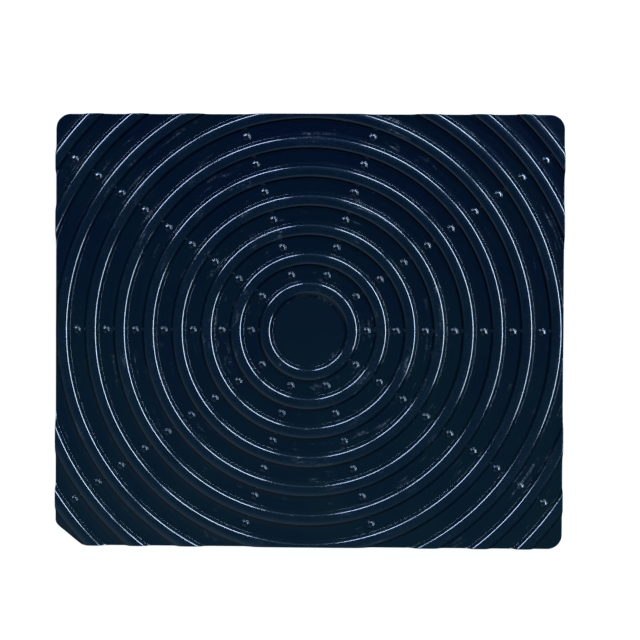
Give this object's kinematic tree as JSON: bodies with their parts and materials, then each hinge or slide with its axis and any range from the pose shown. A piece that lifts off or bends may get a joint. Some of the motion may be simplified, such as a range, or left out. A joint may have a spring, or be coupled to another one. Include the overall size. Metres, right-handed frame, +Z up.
{
  "type": "seedling heat mat",
  "caption": "Flat rectangular warming mat with concentric raised ridges, small domes in the valleys, one cut corner with a flush cord inlet, and rubber feet.",
  "frame": {"origin": "centre of the footprint, on the surface that the feet stand on", "axes": "+X along the length, +Y along the width, +Z up through the ridged face; the cut corner with the cord inlet is at -X, -Y"},
  "size_m": [0.508, 0.433, 0.0149],
  "materials": {
    "cover_plastic": "gloss",
    "base_plastic": "fine texture",
    "black_rubber": "matt",
    "foam": "closed-cell foam",
    "bright_aluminium": "bright foil",
    "spreader_aluminium": "mill finish",
    "silicone_red": "satin silicone",
    "zinc_steel": "zinc plated",
    "terminal_plastic": "nylon",
    "brass": "bright",
    "brown_wire": "extruded",
    "blue_wire": "extruded",
    "earth_wire": "extruded, green with a yellow stripe",
    "white_wire": "silicone",
    "phenolic": "moulded",
    "contact_silver": "satin silver",
    "bimetal": "rolled strip",
    "tinned_copper": "tinned",
    "fuse_body": "glazed",
    "sleeve_black": "heat-shrink",
    "clamp_nylon": "nylon"
  },
  "bodies": {
    "mat": {"top_cover": "cover_plastic", "base_cover": "base_plastic", "perimeter_seal": "black_rubber", "rubber_feet": "black_rubber", "insulation_foam": "foam", "reflector_foil": "bright_aluminium", "heating_cable": "silicone_red", "heat_spreader": "spreader_aluminium", "inlet_bushing": "black_rubber", "cord_clamp": "clamp_nylon", "clamp_screws": "zinc_steel", "terminal_block": "terminal_plastic", "terminal_inserts": "brass", "terminal_screws": "zinc_steel", "live_lead": "brown_wire", "neutral_lead": "blue_wire", "earth_lead": "earth_wire", "earth_ring_terminal": "tinned_copper", "earth_rivet": "zinc_steel", "thermostat_case": "zinc_steel", "thermostat_plug": "phenolic", "fixed_contact_strip": "brass", "fixed_contact": "contact_silver", "blade_mount": "zinc_steel", "link_lead": "white_wire", "thermal_fuse": "fuse_body", "heater_lead": "white_wire", "live_splice": "tinned_copper", "neutral_splice": "tinned_copper", "splice_sleeves": "sleeve_black"},
    "thermostat_blade": {"bimetal_blade": "bimetal", "moving_contact": "contact_silver"}
  },
  "joints": [
    {"name": "thermostat_snap", "type": "hinge", "parent": "mat", "child": "thermostat_blade", "pos_m": [-0.241, -0.1206, 0.0073], "axis": [-1, 0, 0], "range_deg": [0, 3], "stiffness_Nm_per_rad": 0.02, "springref_deg": -2.86}
  ]
}
